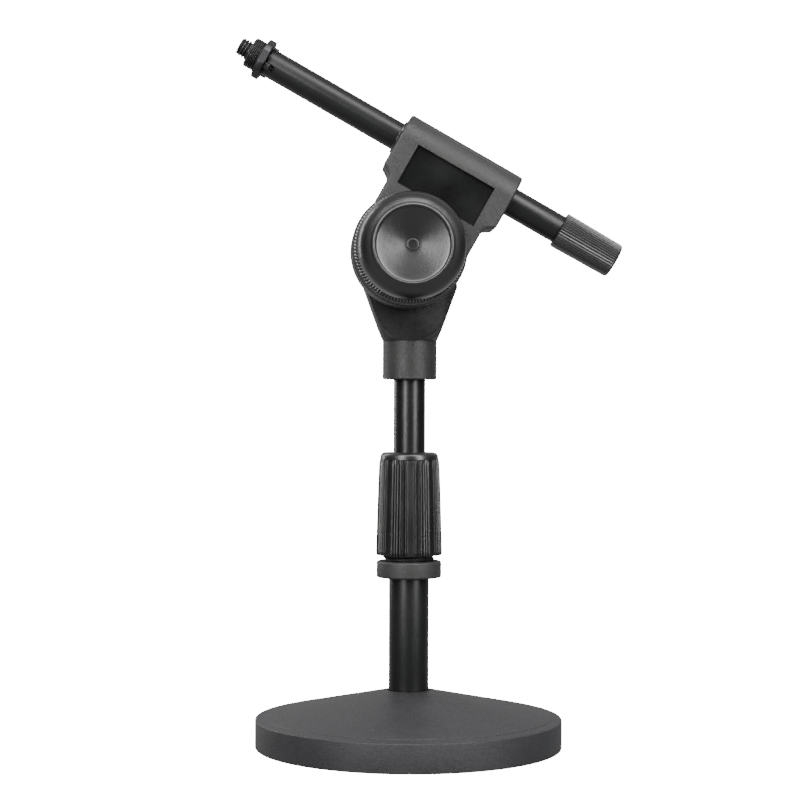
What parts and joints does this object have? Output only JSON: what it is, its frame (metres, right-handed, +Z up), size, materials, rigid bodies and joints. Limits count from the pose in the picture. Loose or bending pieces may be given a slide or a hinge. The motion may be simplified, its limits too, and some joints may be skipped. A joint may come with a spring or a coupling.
{
  "type": "boom microphone stand",
  "caption": "Short desktop microphone stand: round weighted foot, telescopic mast with twist clutch, and a short boom held by a large tilt knob.",
  "frame": {"origin": "centre of the foot's underside", "axes": "+Z up along the mast, +X to the boom's capped end, the boom and knob lie on the -Y side"},
  "size_m": [0.1912, 0.155, 0.3527],
  "materials": {
    "base_coat": "fine-grained charcoal powder coat",
    "tube_enamel": "black enamel, satin on the lower tube and glossier on the upper tube and boom",
    "charcoal_nylon": "spark-textured charcoal moulding",
    "grip_nylon": "satin black moulding",
    "knob_plastic": "semi-gloss black moulding with fine grain",
    "rubber": "matte black",
    "natural_nylon": "undyed, slightly translucent",
    "plated_steel": "zinc plated",
    "black_steel": "black oxide with bright metal showing on the thread crests",
    "insert_brass": "turned"
  },
  "bodies": {
    "stand": {"base_casting": "base_coat", "base_pad": "rubber", "base_bolt": "plated_steel", "base_washer": "plated_steel", "lower_tube_plug": "plated_steel", "lower_tube": "tube_enamel", "clutch_collar": "charcoal_nylon", "clutch_body": "knob_plastic", "clutch_collet": "natural_nylon"},
    "grip": {"clutch_grip": "grip_nylon"},
    "guide": {"mast_guide_bush": "natural_nylon"},
    "mast": {"upper_tube": "tube_enamel", "tilt_yoke": "charcoal_nylon", "yoke_grub_screw": "black_steel", "friction_washer": "rubber", "pivot_bolt": "plated_steel"},
    "clamp": {"boom_clamp": "charcoal_nylon"},
    "knob": {"knob_thrust_washer": "plated_steel", "knurled_ring": "knob_plastic", "knob_cap": "knob_plastic", "knob_insert": "insert_brass"},
    "liner": {"boom_liner": "knob_plastic"},
    "boom": {"boom_tube": "tube_enamel", "boom_end_cap": "rubber", "tip_insert": "black_steel", "thread_adapter": "black_steel"}
  },
  "joints": [
    {"name": "clutch_twist", "type": "hinge", "parent": "stand", "child": "grip", "pos_m": [0, 0, 0.123], "axis": [0, 0, 1], "range_deg": [0, 270]},
    {"name": "mast_height", "type": "slide", "parent": "stand", "child": "guide", "axis": [0, 0, 1], "range_m": [-0.036, 0.04]},
    {"name": "mast_swivel", "type": "hinge", "parent": "guide", "child": "mast", "pos_m": [0, 0, 0.14], "axis": [0, 0, 1], "continuous": true},
    {"name": "boom_tilt", "type": "hinge", "parent": "mast", "child": "clamp", "pos_m": [-0.0022, -0.0268, 0.2488], "axis": [0, 1, 0], "range_deg": [-119, 60]},
    {"name": "knob_turn", "type": "hinge", "parent": "mast", "child": "knob", "pos_m": [-0.0022, -0.055, 0.2488], "axis": [0, -1, 0], "continuous": true},
    {"name": "boom_roll", "type": "hinge", "parent": "clamp", "child": "liner", "pos_m": [0.02051, -0.0268, 0.28903], "axis": [0.8708, 0, -0.4917], "continuous": true},
    {"name": "boom_slide", "type": "slide", "parent": "liner", "child": "boom", "axis": [0.8708, 0, -0.4917], "range_m": [-0.0275, 0.0686]}
  ]
}
